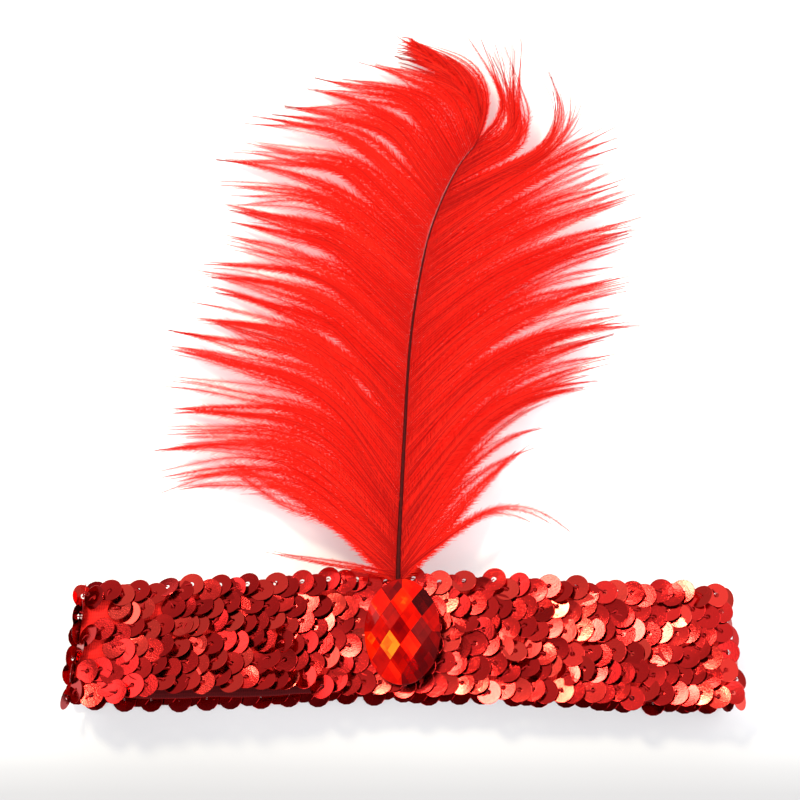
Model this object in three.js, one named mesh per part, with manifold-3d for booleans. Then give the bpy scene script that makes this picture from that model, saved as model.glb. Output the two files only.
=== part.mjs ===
// Red sequin headband lying flat, with an oval faceted gem and an ostrich plume tucked under the gem.
// Millimetres, +Z up. The band runs along X, the plume points along +Y, and the gem is over x = y = 0
// until the last step, which puts the origin under the middle of the whole object.

import * as THREE from 'three';
import { LoftGeometry } from 'three/addons/geometries/LoftGeometry.js';
import { ParametricGeometry } from 'three/addons/geometries/ParametricGeometry.js';
import { mergeVertices } from 'three/addons/utils/BufferGeometryUtils.js';
import Module from 'manifold-3d';

const wasm = await Module();
wasm.setup();

const { clamp, degToRad, lerp, smoothstep } = THREE.MathUtils;

// Gap kept between neighbouring pieces, and the distance under which two points of a mesh are one
const GAP = 0.3;
const MERGE_WITHIN = 1e-4;

// Elastic loop, pressed flat into an upper and a lower layer with a fold at each end
const ELASTIC_WIDTH = 25;
const ELASTIC_THICKNESS = 1.2;
const LOOP_HALF_LENGTH = 79;
const FOLD_RADIUS = 4;
const LOWER_HEIGHT = 2.4;
const STRAIGHT_STEPS = 32;
const FOLD_STEPS = 8;

// How the loop lies: bow is the upper layer's shift towards the plume, rise its lift and roll its near edge
// turned up, and under is the lower layer's shift towards the plume
const LOOP_LAY = [
  { x: -79, bow: -2.5, rise: 0.4, roll: 6, under: -0.9 },
  { x: -60, bow: -1.3, rise: 1.5, roll: 14, under: -1.6 },
  { x: -40, bow: -0.2, rise: 1.7, roll: 15, under: -1.2 },
  { x: -12, bow: 0.4, rise: 0.2, roll: 1, under: 0 },
  { x: 12, bow: 0.1, rise: 0, roll: 0, under: 0.1 },
  { x: 34, bow: -1.2, rise: 0, roll: 0, under: -0.4 },
  { x: 54, bow: -2, rise: 0, roll: 1, under: -2.3 },
  { x: 79, bow: -2.4, rise: 0, roll: 2, under: -2.5 },
];

// Share by which the edge on the plume's side is shorter, all round, than the near edge
const FAR_EDGE_SHORTER = 0.03;

// Sequins: six rows all the way round the loop, each one lying over its neighbour on the right
const SEQUIN_ROWS = 6;
const SEQUINS_ROUND = 96;
const ROW_PITCH = 4.8;
const EDGE_OVERHANG = 0.8;
const EDGE_SCALLOP = 0.9;
const COAT_HIGH = 1.5;
const COAT_SEAM = 1.0;
const COAT_LOW = 0.7;
const COAT_EDGE = 0.5;
const SEQUIN_LEAD = 0.3;
const PRESSED_FLAT_TO = 60;
const RELIEF_BACK_AT = 72;
const FACES_DOWN = -0.5;

// Gem: an oval dome of diamond facets on a straight girdle, tilted by the shaft under its far end
const GEM_WIDTH = 18;
const GEM_LENGTH = 25;
const GEM_GIRDLE = 1.7;
const GEM_DOME = 5.6;
const GEM_FACET = 0.27;
const GEM_SIDES = 24;
const GEM_SPARE = 1;
const GEM_BACK_HEIGHT = 14.5;
const GEM_TILT_NEAR = 5;
const GEM_TILT_LEFT = 5;

// Feather shaft, from under the gem to the curl at its tip
const SHAFT_ROUTE = [
  { x: -1.2, y: 9, z: 14.2 },
  { x: -0.9, y: 22, z: 13.6 },
  { x: 0.3, y: 47, z: 11.6 },
  { x: 1.6, y: 70, z: 9.8 },
  { x: 3.4, y: 85, z: 8.8 },
  { x: 6.4, y: 100.5, z: 7.8 },
  { x: 10.3, y: 112, z: 7 },
  { x: 14.6, y: 121, z: 6.4 },
  { x: 18.8, y: 127, z: 6 },
  { x: 20, y: 132, z: 5.7 },
  { x: 18.4, y: 138, z: 5.4 },
  { x: 13.4, y: 145.3, z: 5 },
  { x: 4, y: 153.3, z: 4.4 },
];
const SHAFT_ROOT_RADIUS = 0.65;
const SHAFT_TIP_RADIUS = 0.35;
const SHAFT_STEPS = 36;
const SHAFT_SIDES = 6;

// Barbs on each side of the shaft: at is the distance along it, reach the barb's length, lean the angle
// it leaves the shaft at, turn how much further it bends away, and start and end the shares of its length
// between which it bends
const LEFT_BARBS = [
  { at: 6, reach: 66, lean: 47, turn: 46, start: 0.25, end: 0.8 },
  { at: 11, reach: 66, lean: 43, turn: 44, start: 0.2, end: 0.75 },
  { at: 15, reach: 67, lean: 40, turn: 44, start: 0.2, end: 0.7 },
  { at: 20, reach: 73, lean: 37, turn: 45, start: 0.2, end: 0.7 },
  { at: 24, reach: 75, lean: 38, turn: 42, start: 0.2, end: 0.7 },
  { at: 30, reach: 69, lean: 40, turn: 39, start: 0.22, end: 0.7 },
  { at: 39, reach: 66, lean: 43, turn: 35, start: 0.28, end: 0.7 },
  { at: 47, reach: 62, lean: 46, turn: 33, start: 0.28, end: 0.7 },
  { at: 54, reach: 61, lean: 48, turn: 31, start: 0.28, end: 0.7 },
  { at: 65, reach: 61, lean: 50, turn: 32, start: 0.28, end: 0.68 },
  { at: 76, reach: 61, lean: 55, turn: 31, start: 0.28, end: 0.68 },
  { at: 91, reach: 58, lean: 56, turn: 33, start: 0.3, end: 0.68 },
  { at: 105, reach: 49, lean: 61, turn: 33, start: 0.25, end: 0.7 },
  { at: 111, reach: 44, lean: 59, turn: 38, start: 0.2, end: 0.65 },
  { at: 117, reach: 41, lean: 63, turn: 45, start: 0.15, end: 0.6 },
  { at: 122, reach: 39, lean: 45, turn: 54, start: 0.1, end: 0.6 },
  { at: 126, reach: 35, lean: 18, turn: 56, start: 0, end: 0.6 },
  { at: 136, reach: 25, lean: 13, turn: 16, start: 0, end: 1 },
  { at: 150, reach: 12, lean: 10, turn: 14, start: 0, end: 1 },
];
const RIGHT_BARBS = [
  { at: 6, reach: 55, lean: 34, turn: 33, start: 0.4, end: 1 },
  { at: 11, reach: 66, lean: 31, turn: 38, start: 0.35, end: 1 },
  { at: 18, reach: 69, lean: 34, turn: 37, start: 0.2, end: 0.9 },
  { at: 28, reach: 68, lean: 38, turn: 33, start: 0.15, end: 0.9 },
  { at: 39, reach: 70, lean: 41, turn: 29, start: 0.1, end: 0.9 },
  { at: 56, reach: 71, lean: 42, turn: 24, start: 0.05, end: 0.9 },
  { at: 75, reach: 64, lean: 44, turn: 18, start: 0, end: 0.9 },
  { at: 85, reach: 60, lean: 42, turn: 11, start: 0, end: 1 },
  { at: 94, reach: 56, lean: 40, turn: 6, start: 0, end: 1 },
  { at: 97, reach: 52, lean: 40, turn: -8, start: 0.3, end: 1 },
  { at: 100.5, reach: 51, lean: 42, turn: -56, start: 0.4, end: 1 },
  { at: 104.5, reach: 53, lean: 42, turn: -86, start: 0.34, end: 0.92 },
  { at: 106.5, reach: 52, lean: 38, turn: -76, start: 0.28, end: 0.66 },
  { at: 111, reach: 48, lean: 36, turn: -80, start: 0.3, end: 0.66 },
  { at: 115, reach: 40, lean: 31, turn: -78, start: 0.25, end: 0.58 },
  { at: 121.5, reach: 32, lean: 28, turn: -76, start: 0.1, end: 0.45 },
  { at: 122.5, reach: 34, lean: 8, turn: -90, start: 0, end: 0.9 },
  { at: 131, reach: 27, lean: 12, turn: -58, start: 0, end: 1 },
  { at: 150, reach: 9, lean: 10, turn: -10, start: 0, end: 1 },
];

// Locks of barbs: flat strips of lens section, fused to a thin strip beside the shaft and set closer
// together towards the band
const LOCKS_PER_SIDE = 18;
const FIRST_LOCK_AT = 6;
const LAST_LOCK_AT = 149;
const LOCK_CROWDING = 1.2;
const LOCK_STATIONS = [0, 0.175, 0.4, 0.65, 0.875, 1];
const LOCK_HALF_WIDTH = 3.6;
const LOCK_LEAST_HALF_WIDTH = 0.2;
const LOCK_ROOT_SCALE = 0.3;
const LOCK_ROOT_SHARE = 0.3;
const LOCK_TAPER = 3;
const LOCK_HALF_THICKNESS = 0.5;
const LOCK_TIP_SCALE = 0.3;
const LOCK_TIP_HEIGHT = 0.5;
const LOCK_ARCH = 1.6;
const LOCK_DROOP = 1.8;
const BACKING_HALF_WIDTH = 0.55;
const BACKING_HALF_THICKNESS = 0.6;
const BACKING_STEPS = 30;
const BARB_STEPS = 40;

const COLOURS = {
  elastic: { color: 0x8f0d14, roughness: 0.85, metalness: 0 },
  sequins: { color: 0xc2141a, roughness: 0.3, metalness: 0.7 },
  gem: { color: 0xb01014, roughness: 0.08, metalness: 0.1 },
  shaft: { color: 0x5a0a08, roughness: 0.5, metalness: 0 },
  vane: { color: 0xf02018, roughness: 0.8, metalness: 0 },
};

// Value of one column of a table at a place between its rows, straight or eased from row to row
function tableAt(rows, key, position, column, eased) {
  const last = rows.length - 1;
  const found = rows.findIndex((row) => row[key] >= position);
  const next = clamp(found < 0 ? last : found, 1, last);
  const from = rows[next - 1];
  const to = rows[next];
  const share = clamp((position - from[key]) / (to[key] - from[key]), 0, 1);
  return lerp(from[column], to[column], eased ? smoothstep(share, 0, 1) : share);
}

function loopLay(x, column) {
  return tableAt(LOOP_LAY, 'x', x, column, true);
}

function barbValue(rows, at, column) {
  return tableAt(rows, 'at', at, column, false);
}

// Closed mesh as a solid that can be joined and cut
function toSolid(geometry) {
  const bare = new THREE.BufferGeometry().copy(geometry);
  bare.deleteAttribute('normal');
  bare.deleteAttribute('uv');
  const merged = mergeVertices(bare, MERGE_WITHIN);
  return new wasm.Manifold(new wasm.Mesh({
    numProp: 3,
    vertProperties: merged.attributes.position.array,
    triVerts: new Uint32Array(merged.index.array),
  }));
}

function toGeometry(solid) {
  const mesh = solid.getMesh();
  const geometry = new THREE.BufferGeometry();
  geometry.setAttribute('position', new THREE.BufferAttribute(mesh.vertProperties, 3));
  geometry.setIndex(new THREE.BufferAttribute(mesh.triVerts, 1));
  geometry.computeVertexNormals();
  return geometry;
}

function makePiece(name, geometry, colour) {
  const mesh = new THREE.Mesh(geometry, new THREE.MeshStandardMaterial(colour));
  mesh.name = name;
  return mesh;
}

// The loop's middle line, measured along from the right end of the upper layer, over it to the left,
// down the left fold, back under and up the right fold
const STRAIGHT = 2 * (LOOP_HALF_LENGTH - ELASTIC_THICKNESS / 2 - FOLD_RADIUS);
const FOLD = Math.PI * FOLD_RADIUS;
const LOOP_LENGTH = 2 * (STRAIGHT + FOLD);

function loopProfile(along) {
  const middle = LOWER_HEIGHT + FOLD_RADIUS;
  const place = ((along % LOOP_LENGTH) + LOOP_LENGTH) % LOOP_LENGTH;
  if (place < STRAIGHT) {
    return { x: STRAIGHT / 2 - place, z: middle + FOLD_RADIUS, outX: 0, outZ: 1 };
  }
  if (place < STRAIGHT + FOLD) {
    const turned = (place - STRAIGHT) / FOLD_RADIUS;
    const outX = -Math.sin(turned);
    const outZ = Math.cos(turned);
    return { x: -STRAIGHT / 2 + FOLD_RADIUS * outX, z: middle + FOLD_RADIUS * outZ, outX, outZ };
  }
  if (place < 2 * STRAIGHT + FOLD) {
    return { x: place - 1.5 * STRAIGHT - FOLD, z: LOWER_HEIGHT, outX: 0, outZ: -1 };
  }
  const turned = (place - 2 * STRAIGHT - FOLD) / FOLD_RADIUS;
  const outX = Math.sin(turned);
  const outZ = -Math.cos(turned);
  return { x: STRAIGHT / 2 + FOLD_RADIUS * outX, z: middle + FOLD_RADIUS * outZ, outX, outZ };
}

// A point of the loop: across its width towards the plume, and out from the middle of the elastic
function onLoop(along, across, out, target) {
  const { x, z, outX, outZ } = loopProfile(along);
  const upperShare = (z - LOWER_HEIGHT) / (2 * FOLD_RADIUS);
  const roll = degToRad(upperShare * loopLay(x, 'roll'));
  const rise = upperShare * loopLay(x, 'rise');
  const bow = lerp(loopLay(x, 'under'), loopLay(x, 'bow'), upperShare);
  const shorter = FAR_EDGE_SHORTER * (0.5 + across / ELASTIC_WIDTH);
  return target.set(
    (x + out * outX) * (1 - shorter),
    bow + across * Math.cos(roll) + out * outZ * Math.sin(roll),
    z + rise - across * Math.sin(roll) + out * outZ * Math.cos(roll),
  );
}

// Elastic: a flat section carried round the loop, with more steps in the folds
function makeBand() {
  const stations = [];
  for (const layer of [0, 1]) {
    const start = layer * (STRAIGHT + FOLD);
    for (let i = 0; i < STRAIGHT_STEPS; i++) {
      stations.push(start + (STRAIGHT * i) / STRAIGHT_STEPS);
    }
    for (let i = 0; i < FOLD_STEPS; i++) {
      stations.push(start + STRAIGHT + (FOLD * i) / FOLD_STEPS);
    }
  }
  const edge = ELASTIC_WIDTH / 2;
  const face = ELASTIC_THICKNESS / 2;
  const section = [
    { across: edge, out: face },
    { across: 0, out: face },
    { across: -edge, out: face },
    { across: -edge, out: -face },
    { across: 0, out: -face },
    { across: edge, out: -face },
  ];
  const surface = (u, v, target) => {
    const station = stations[Math.round(u * stations.length) % stations.length];
    const corner = section[Math.round(v * section.length) % section.length];
    onLoop(station, corner.across, corner.out, target);
  };
  return new ParametricGeometry(surface, stations.length, section.length);
}

// Sequin coat: one skin round the loop whose outside rises over each sequin and drops to the next one,
// with neighbouring rows half a sequin apart and a scalloped edge; it is pressed flat where it rests
function makeSequins() {
  const pitch = LOOP_LENGTH / SEQUINS_ROUND;
  const columns = 2 * SEQUINS_ROUND;
  const inner = ELASTIC_THICKNESS / 2 + GAP;
  const edge = (SEQUIN_ROWS * ROW_PITCH) / 2;
  const outerCount = 2 * SEQUIN_ROWS + 1;
  const innerAcross = [-edge, edge];
  const corners = outerCount + innerAcross.length;
  const surface = (u, v, target) => {
    const column = Math.round(u * columns) % columns;
    const corner = Math.round(v * corners) % corners;
    const along = (column * pitch) / 2;
    if (corner >= outerCount) {
      onLoop(along, innerAcross[corner - outerCount], inner, target);
      return;
    }
    const { x, outZ } = loopProfile(along);
    const relief = outZ < FACES_DOWN ? smoothstep(Math.abs(x), PRESSED_FLAT_TO, RELIEF_BACK_AT) : 1;
    const across = edge - (corner * ROW_PITCH) / 2;
    if (corner === 0 || corner === outerCount - 1) {
      const row = corner === 0 ? 0 : SEQUIN_ROWS - 1;
      const reach = EDGE_OVERHANG - ((column + row) % 2) * EDGE_SCALLOP;
      onLoop(along, across + Math.sign(across) * reach, inner + COAT_EDGE, target);
      return;
    }
    const isSeam = corner % 2 === 0;
    const isRaised = !isSeam && (column + (corner - 1) / 2) % 2 === 1;
    const between = isSeam ? COAT_SEAM : COAT_LOW;
    const height = isRaised ? COAT_HIGH : between;
    const lead = isRaised ? SEQUIN_LEAD * pitch * relief : 0;
    onLoop(along - lead, across, inner + lerp(COAT_HIGH, height, relief), target);
  };
  return new ParametricGeometry(surface, columns, corners);
}

// Gem: an oval block cut by planes that touch a dome at a lattice of points, which makes diamond facets
function makeGem() {
  const halfWidth = GEM_WIDTH / 2;
  const halfLength = GEM_LENGTH / 2;
  const oval = new THREE.Shape();
  oval.absellipse(0, 0, halfWidth, halfLength, 0, 2 * Math.PI);
  const block = new THREE.ExtrudeGeometry(oval, {
    depth: GEM_GIRDLE + GEM_DOME + GEM_SPARE,
    bevelEnabled: false,
    curveSegments: GEM_SIDES,
  });
  let gem = toSolid(block);
  const reach = Math.ceil(1 / GEM_FACET);
  for (let i = -reach; i <= reach; i++) {
    for (let j = -reach; j <= reach; j++) {
      const across = i * GEM_FACET;
      const along = j * GEM_FACET;
      if ((i + j) % 2 !== 0 || Math.hypot(across, along) > 1) {
        continue;
      }
      const touch = new THREE.Vector3(
        across * halfWidth,
        along * halfLength,
        GEM_GIRDLE + GEM_DOME * (1 - across * across - along * along),
      );
      const down = new THREE.Vector3(
        (-2 * GEM_DOME * across) / halfWidth,
        (-2 * GEM_DOME * along) / halfLength,
        -1,
      ).normalize();
      gem = gem.trimByPlane(down.toArray(), down.dot(touch));
    }
  }
  const mesh = makePiece('gem', toGeometry(gem), COLOURS.gem);
  mesh.position.z = GEM_BACK_HEIGHT;
  mesh.rotation.set(degToRad(GEM_TILT_NEAR), degToRad(-GEM_TILT_LEFT), 0);
  return mesh;
}

// Shaft route, measured by distance along it
const shaftCurve = new THREE.CatmullRomCurve3(
  SHAFT_ROUTE.map(({ x, y, z }) => new THREE.Vector3(x, y, z)),
  false,
  'catmullrom',
  0.5,
);
const SHAFT_LENGTH = shaftCurve.getLength();
const shaftSamples = shaftCurve.getSpacedPoints(2 * SHAFT_STEPS);

function shaftAt(distance) {
  const share = clamp(distance / SHAFT_LENGTH, 0, 1);
  const point = shaftCurve.getPointAt(share);
  const tangent = shaftCurve.getTangentAt(share);
  const side = new THREE.Vector3(-tangent.y, tangent.x, 0).normalize();
  const radius = lerp(SHAFT_ROOT_RADIUS, SHAFT_TIP_RADIUS, share);
  return { point, side, radius, heading: Math.atan2(tangent.y, tangent.x) };
}

// Distance from the shaft, or from the line that carries on from its tip, seen from above
function distanceFromShaft(x, y) {
  const tip = shaftAt(SHAFT_LENGTH);
  const ahead = (x - tip.point.x) * Math.cos(tip.heading) + (y - tip.point.y) * Math.sin(tip.heading);
  const nearest = Math.min(...shaftSamples.map((sample) => Math.hypot(x - sample.x, y - sample.y)));
  const aside = (y - tip.point.y) * Math.cos(tip.heading) - (x - tip.point.x) * Math.sin(tip.heading);
  return ahead > 0 ? Math.min(nearest, Math.abs(aside)) : nearest;
}

function makeShaft() {
  const sections = [];
  for (let i = 0; i <= SHAFT_STEPS; i++) {
    const { point, side, radius } = shaftAt((SHAFT_LENGTH * i) / SHAFT_STEPS);
    const ring = [];
    for (let k = 0; k < SHAFT_SIDES; k++) {
      const turned = (2 * Math.PI * k) / SHAFT_SIDES;
      const offset = side.clone().multiplyScalar(radius * Math.cos(turned));
      offset.z += radius * Math.sin(turned);
      ring.push(offset.add(point));
    }
    sections.push(ring);
  }
  return new LoftGeometry(sections, { capStart: true, capEnd: true });
}

// Lens section of a strip: a wide flat diamond
function lens(point, side, halfWidth, halfThickness) {
  const wide = side.clone().multiplyScalar(halfWidth);
  const up = new THREE.Vector3(0, 0, halfThickness);
  return [
    point.clone().add(wide),
    point.clone().add(up),
    point.clone().sub(wide),
    point.clone().sub(up),
  ];
}

// Middle line of a barb on one side (+1 left, -1 right), as points and headings at shares of its length
function barbLine(rows, sideSign, at) {
  const root = shaftAt(at);
  const reach = barbValue(rows, at, 'reach');
  const lean = degToRad(barbValue(rows, at, 'lean'));
  const turn = degToRad(barbValue(rows, at, 'turn'));
  const bendStart = barbValue(rows, at, 'start');
  const bendEnd = barbValue(rows, at, 'end');
  const offset = root.radius + GAP + BACKING_HALF_WIDTH;
  const start = root.point.clone().addScaledVector(root.side, sideSign * offset);
  const line = [];
  let { x, y } = start;
  for (let step = 0; step <= BARB_STEPS; step++) {
    const share = step / BARB_STEPS;
    const bent = smoothstep(share, bendStart, bendEnd);
    const heading = root.heading + sideSign * (lean + turn * bent);
    const z = lerp(start.z, LOCK_TIP_HEIGHT, share ** LOCK_DROOP) + LOCK_ARCH * Math.sin(Math.PI * share);
    line.push({ point: new THREE.Vector3(x, y, z), heading });
    x += (Math.cos(heading) * reach) / BARB_STEPS;
    y += (Math.sin(heading) * reach) / BARB_STEPS;
  }
  return line;
}

function makeLock(rows, sideSign, at) {
  const line = barbLine(rows, sideSign, at);
  const clearance = shaftAt(at).radius + GAP;
  const sections = LOCK_STATIONS.map((share) => {
    const { point, heading } = line[Math.round(share * BARB_STEPS)];
    const side = new THREE.Vector3(-Math.sin(heading), Math.cos(heading), 0);
    const opened = lerp(LOCK_ROOT_SCALE, 1, smoothstep(share, 0, LOCK_ROOT_SHARE));
    const swell = opened * Math.sqrt(1 - share ** LOCK_TAPER);
    const room = distanceFromShaft(point.x, point.y) - clearance;
    const halfWidth = Math.max(LOCK_LEAST_HALF_WIDTH, Math.min(LOCK_HALF_WIDTH * swell, room));
    return lens(point, side, halfWidth, LOCK_HALF_THICKNESS * lerp(1, LOCK_TIP_SCALE, share));
  });
  return new LoftGeometry(sections, { capStart: true, capEnd: true });
}

// Vane: a thin strip beside the shaft with the locks of that side fused to it
function makeVane(rows, sideSign) {
  const backing = [];
  for (let i = 0; i <= BACKING_STEPS; i++) {
    const { point, side, radius } = shaftAt(lerp(FIRST_LOCK_AT - 1, LAST_LOCK_AT + 1, i / BACKING_STEPS));
    const centre = point.clone().addScaledVector(side, sideSign * (radius + GAP + BACKING_HALF_WIDTH));
    backing.push(lens(centre, side, BACKING_HALF_WIDTH, BACKING_HALF_THICKNESS));
  }
  let vane = toSolid(new LoftGeometry(backing, { capStart: true, capEnd: true }));
  for (let i = 0; i < LOCKS_PER_SIDE; i++) {
    const at = lerp(FIRST_LOCK_AT, LAST_LOCK_AT, (i / (LOCKS_PER_SIDE - 1)) ** LOCK_CROWDING);
    vane = vane.add(toSolid(makeLock(rows, sideSign, at)));
  }
  return toGeometry(vane);
}

const headband = new THREE.Group();
headband.add(makePiece('band', makeBand(), COLOURS.elastic));
headband.add(makePiece('sequins', makeSequins(), COLOURS.sequins));
headband.add(makeGem());
headband.add(makePiece('feather_shaft', makeShaft(), COLOURS.shaft));
headband.add(makePiece('feather_vane_left', makeVane(LEFT_BARBS, 1), COLOURS.vane));
headband.add(makePiece('feather_vane_right', makeVane(RIGHT_BARBS, -1), COLOURS.vane));

// Origin under the middle of the whole object
headband.updateMatrixWorld(true);
const box = new THREE.Box3().setFromObject(headband, true);
headband.position.set(-(box.min.x + box.max.x) / 2, -(box.min.y + box.max.y) / 2, -box.min.z);

export default headband;
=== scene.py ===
"""Looks of the red sequin headband: its elastic, sequins, gem and plume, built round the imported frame."""
import math

import bmesh
import bpy
import numpy as np
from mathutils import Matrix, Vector


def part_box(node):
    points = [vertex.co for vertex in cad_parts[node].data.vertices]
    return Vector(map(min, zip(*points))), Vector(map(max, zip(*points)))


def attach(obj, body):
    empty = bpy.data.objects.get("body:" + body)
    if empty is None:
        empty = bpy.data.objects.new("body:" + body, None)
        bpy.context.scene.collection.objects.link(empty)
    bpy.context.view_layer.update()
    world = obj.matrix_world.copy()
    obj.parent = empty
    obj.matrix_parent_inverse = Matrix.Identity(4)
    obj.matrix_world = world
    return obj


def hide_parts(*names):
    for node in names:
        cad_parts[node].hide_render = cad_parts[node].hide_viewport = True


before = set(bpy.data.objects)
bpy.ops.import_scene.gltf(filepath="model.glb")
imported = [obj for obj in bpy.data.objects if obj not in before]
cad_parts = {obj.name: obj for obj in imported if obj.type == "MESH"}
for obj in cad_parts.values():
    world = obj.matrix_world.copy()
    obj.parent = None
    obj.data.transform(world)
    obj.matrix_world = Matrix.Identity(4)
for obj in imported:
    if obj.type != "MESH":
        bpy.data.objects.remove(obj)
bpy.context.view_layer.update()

# Sizes are in millimetres with the gem over x = y = 0, as the part was drawn; MM takes them to metres.
MM = 0.001


def table(names, rows):
    """Rows of numbers under these column names, as a list of dictionaries."""
    return [dict(zip(names.split(), row)) for row in rows]


# Elastic loop, pressed flat: bow, rise and roll are the upper layer's, under is the lower layer's bow
ELASTIC_WIDTH = 25.0
ELASTIC_THICKNESS = 1.2
ELASTIC_SOFT_EDGE = 0.4
ELASTIC_STEPS = 460
ELASTIC_FACE_STEPS = 22
EDGE_STEPS = 2000
EDGE_WAVERS = [(0.006, 3.1), (0.004, 1.7)]
RIB_PITCH = 0.9
YARN_PITCH = 0.55
LOOP_HALF_LENGTH = 79.0
FOLD_RADIUS = 4.0
LOWER_HEIGHT = 2.4
LOOP_LAY = table("x bow rise roll under", [
    (-79, -2.5, 0.4, 6, -0.9),
    (-60, -1.3, 1.5, 14, -1.6),
    (-40, -0.2, 1.7, 15, -1.2),
    (-12, 0.4, 0.2, 1, 0),
    (12, 0.1, 0, 0, 0.1),
    (34, -1.2, 0, 0, -0.4),
    (54, -2, 0, 1, -2.3),
    (79, -2.4, 0, 2, -2.5),
])
FAR_EDGE_SHORTER = 0.03
STRAIGHT = 2 * (LOOP_HALF_LENGTH - ELASTIC_THICKNESS / 2 - FOLD_RADIUS)
FOLD = math.pi * FOLD_RADIUS
LOOP_LENGTH = 2 * (STRAIGHT + FOLD)

# Sequins: lean tips the face to the left and rock to the near side, in degrees; odd ones lie askew
SEQUIN_RADIUS = 3.0
SEQUIN_HOLE = 0.62
SEQUIN_THICKNESS = 0.09
SEQUIN_RING = 1.75
SEQUIN_EDGE = 0.08
SEQUIN_ROWS = 6
SEQUINS_ROUND = 96
ROW_PITCH = 4.8
ROW_ZIGZAG = 0.55
ALONG_SPREAD = 0.14
ACROSS_SPREAD = 0.38
SEQUIN_LEAN = 15.0
SEQUIN_LEAN_SPREAD = 4.2
SEQUIN_ROCK = -6.0
SEQUIN_ROCK_SPREAD = 4.8
SEQUIN_LIFT = 0.95
SEQUIN_LIFT_SPREAD = 0.08
SEQUIN_DISH = (-0.02, 0.1)
DISH_LEVEL = 0.3
SEQUIN_FLOOR_GAP = 0.03
UPPER_TONE = (0.25, 1)
ODD_SHARE = 0.05
ODD_LEAN = (-20, 24)
ODD_ROCK = (-22, 22)
ODD_LIFT = 0.35
CREASED_SHARE = 0.15
CREASE_SLOPE = 0.18
CREASE_OFF = 1.2
# Those under the loop and round the gem are pressed flatter
PRESSED = 0.65
PRESSED_LEAN = (6, 16)
PRESSED_ROCK = (-8, 8)
FOLD_LEAN = 20.0
UPPER_SIDES = 22
LOWER_SIDES = 14
LOWER_FACING = -0.3
LOWER_LIFT = 0.75
LOWER_ACROSS = 12.8
LOWER_HOLE = 0.25
# Painted shade: the lower layer lies under the upper one and gets a dark tone
LOWER_SHADE_TONE = 0.1
GEM_SEAT_LIFT = 0.85
GEM_SEAT_MARGIN = 2.0
STITCH_RADIUS = 0.17
STITCH_SIDES = 5
STITCH_SWING = 30
STITCH_ROUTE = [(0.2, -0.4), (0.12, 0.15), (-0.25, 0.4), (-0.9, 0.36), (-1.6, 0.1), (-2.1, -0.3)]
BARE_SPOTS = [(-73.0, 5.6), (-73.8, -4.9), (-58.7, 5.3)]
BARE_WITHIN = 2.4

# Gem
GEM_WIDTH = 18.0
GEM_LENGTH = 25.0
GEM_GIRDLE = 1.7
GEM_DOME = 5.6
GEM_FACET = 0.27
GEM_SIDES = 72
GEM_BACK_HEIGHT = 14.5
GEM_TILT_NEAR = 5.0
GEM_TILT_LEFT = 5.0
GEM_HEADROOM = 1.0
GEM_CUT_NEAR = 1e-5
GEM_MERGE_NEAR = 1e-4
GEM_SHARP_ANGLE = 8.0
GEM_BEVEL = 0.07
GEM_BACK_FACING = -0.9
# Steep rim faces, those facing up less than this, get a painted shade tone
GEM_RIM_FACING = 0.4
GEM_RIM_SHADE = 0.15
# Painted reflections and shade on the facets: each facet takes the tone of the nearest place listed
GEM_PAINTED_LIGHT = table("x y tone", [
    (-4.6, 7.1, 0.76),
    (1.3, 8.5, 0.76),
    (-1.1, 11.2, 0.36),
    (5.3, 8.0, 0.12),
    (-2.0, 4.6, 0.47),
    (-1.5, 1.2, 0.42),
    (3.2, 2.4, 0.68),
    (-6.5, 2.7, 0.5),
    (7.7, 2.2, 0.5),
    (-8.4, -1.2, 0.65),
    (6.2, -1.2, 0.26),
    (1.0, -3.2, 0.72),
    (-3.7, -3.4, 1.0),
    (-6.6, -4.2, 0.78),
    (-1.5, -6.1, 0.45),
    (4.6, -6.3, 0.24),
    (-4.8, -7.6, 0.6),
    (2.2, -10.5, 0.3),
    (-2.7, -11.2, 0.67),
])

# Plume
SHAFT_ROUTE = [
    (-1.2, 9, 14.2),
    (-0.9, 22, 13.6),
    (0.3, 47, 11.6),
    (1.6, 70, 9.8),
    (3.4, 85, 8.8),
    (6.4, 100.5, 7.8),
    (10.3, 112, 7),
    (14.6, 121, 6.4),
    (18.8, 127, 6),
    (20, 132, 5.7),
    (18.4, 138, 5.4),
    (13.4, 145.3, 5),
    (4, 153.3, 4.4),
]
SHAFT_STEPS = 60
QUILL_STEPS = 260
QUILL_SIDES = 12
SHAFT_RADIUS = table("at radius", [
    (0, 0.65),
    (40, 0.45),
    (65, 0.33),
    (92, 0.23),
    (120, 0.15),
    (155, 0.08),
])
# Barbs by distance along the shaft: lean is off the shaft, turn bends them from start to end of the barb
LEFT_BARBS = table("at reach lean turn start end", [
    (2, 42, 52, -26, 0.06, 0.26),
    (6, 69, 47, 54, 0.25, 0.85),
    (11, 70, 43, 51, 0.2, 0.8),
    (15, 71, 40, 48, 0.2, 0.72),
    (20, 75, 37, 46, 0.2, 0.7),
    (24, 78, 38, 42, 0.2, 0.7),
    (30, 72, 40, 39, 0.22, 0.7),
    (39, 66, 43, 35, 0.28, 0.7),
    (47, 62, 46, 33, 0.28, 0.7),
    (54, 61, 48, 31, 0.28, 0.7),
    (65, 61, 50, 32, 0.28, 0.68),
    (76, 61, 55, 31, 0.28, 0.68),
    (91, 61, 56, 33, 0.3, 0.68),
    (105, 54, 61, 33, 0.25, 0.7),
    (111, 49, 59, 38, 0.2, 0.65),
    (117, 45, 63, 45, 0.15, 0.6),
    (121.4, 40, 49, 54, 0.1, 0.6),
    (122.2, 33, 40, 50, 0.05, 0.6),
    (126, 30, 20, 46, 0, 0.6),
    (136, 23, 16, 10, 0, 1),
    (150, 10, 12, 4, 0, 1),
])
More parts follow.
